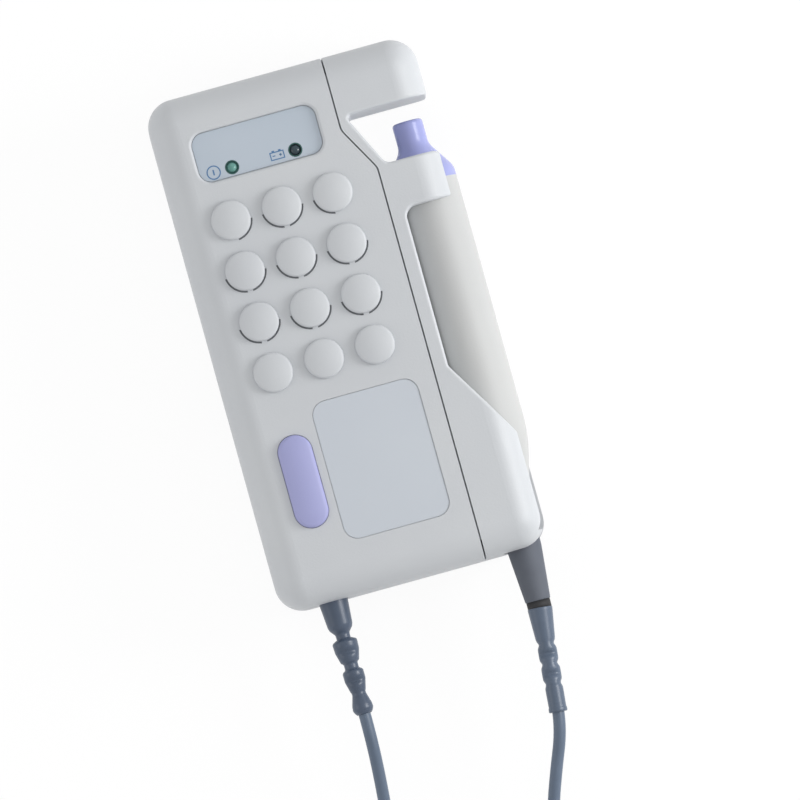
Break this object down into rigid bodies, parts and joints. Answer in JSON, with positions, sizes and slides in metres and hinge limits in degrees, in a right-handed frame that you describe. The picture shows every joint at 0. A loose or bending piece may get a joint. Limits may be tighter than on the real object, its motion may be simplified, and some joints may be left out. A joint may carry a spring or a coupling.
{
  "type": "handheld ultrasound doppler",
  "caption": "Pocket ultrasound doppler: flat moulded case with a domed speaker grille, pill button and lamps, and a pencil probe on a lead clipped into a bay in its side.",
  "frame": {"origin": "middle of the flat back of the case, on the surface it lies on", "axes": "+X towards the probe's side, +Y towards the probe's nose and the indicator panel, +Z out of the front"},
  "size_m": [0.076, 0.2706, 0.0283],
  "materials": {
    "case_abs": "light grey ABS moulding with a fine satin grain",
    "panel_film": "pale blue-grey polycarbonate film",
    "label_film": "pale grey polyester film",
    "button_silicone": "satin lilac silicone key",
    "lamp_green": "green tinted diffused epoxy",
    "lamp_dark": "unlit dark tinted epoxy",
    "board_laminate": "green solder mask on glass laminate",
    "chip_epoxy": "black moulded epoxy",
    "can_aluminium": "bare drawn can",
    "zinc_steel": "zinc plated steel",
    "ferrite": "dark sintered ferrite",
    "cone_paper": "matt pressed paper",
    "black_rubber": "matt soft rubber",
    "battery_jacket": "plain grey printed steel jacket",
    "contact_nickel": "nickel plated spring strip",
    "wheel_abs": "mid grey ABS",
    "switch_plastic": "black nylon",
    "probe_abs": "warm light grey ABS with a satin grain",
    "nose_abs": "satin lilac ABS",
    "lens_epoxy": "clear cream epoxy face",
    "crystal_ceramic": "silvered piezo ceramic",
    "backing_epoxy": "filled epoxy",
    "slate_rubber": "satin slate grey PVC",
    "boot_rubber": "matt dark grey PVC"
  },
  "bodies": {
    "case": {"front_cover": "case_abs", "rear_case": "case_abs", "indicator_panel": "panel_film", "label_plate": "label_film", "power_led": "lamp_green", "battery_led": "lamp_dark", "circuit_board": "board_laminate", "board_chips": "chip_epoxy", "board_capacitors": "can_aluminium", "board_screws": "zinc_steel", "power_switch": "zinc_steel", "case_screws": "zinc_steel", "speaker_frame": "zinc_steel", "speaker_magnet": "ferrite", "speaker_cone": "cone_paper", "speaker_surround": "black_rubber", "speaker_gasket": "black_rubber", "battery": "battery_jacket", "battery_terminals": "contact_nickel", "battery_contacts": "contact_nickel", "volume_pot": "switch_plastic", "lead_boot": "slate_rubber", "lead_unit_run": "slate_rubber", "lead_coil": "slate_rubber", "lead_probe_run": "slate_rubber", "lead_tie": "black_rubber"},
    "button": {"power_button": "button_silicone", "switch_plunger": "switch_plastic"},
    "door": {"battery_cover": "case_abs"},
    "wheel": {"volume_wheel": "wheel_abs", "wheel_screw": "zinc_steel"},
    "probe": {"probe_shell": "probe_abs", "probe_nose": "nose_abs", "probe_lens": "lens_epoxy", "probe_crystals": "crystal_ceramic", "probe_backing": "backing_epoxy", "probe_board": "board_laminate", "probe_boot": "boot_rubber", "probe_relief": "slate_rubber"}
  },
  "joints": [
    {"name": "button_press", "type": "slide", "parent": "case", "child": "button", "axis": [0, 0, -1], "range_m": [0, 0.0009], "stiffness_N_per_m": 1500, "springref_m": -0.0003},
    {"name": "door_slide", "type": "slide", "parent": "case", "child": "door", "axis": [0, -1, 0], "range_m": [0, 0.055]},
    {"name": "volume_turn", "type": "hinge", "parent": "case", "child": "wheel", "pos_m": [-0.0288, -0.01, 0.0121], "axis": [0, 0, 1], "range_deg": [-140, 140]},
    {"name": "probe_unclip", "type": "slide", "parent": "case", "child": "probe", "axis": [1, 0, 0], "range_m": [0, 0.025]}
  ]
}
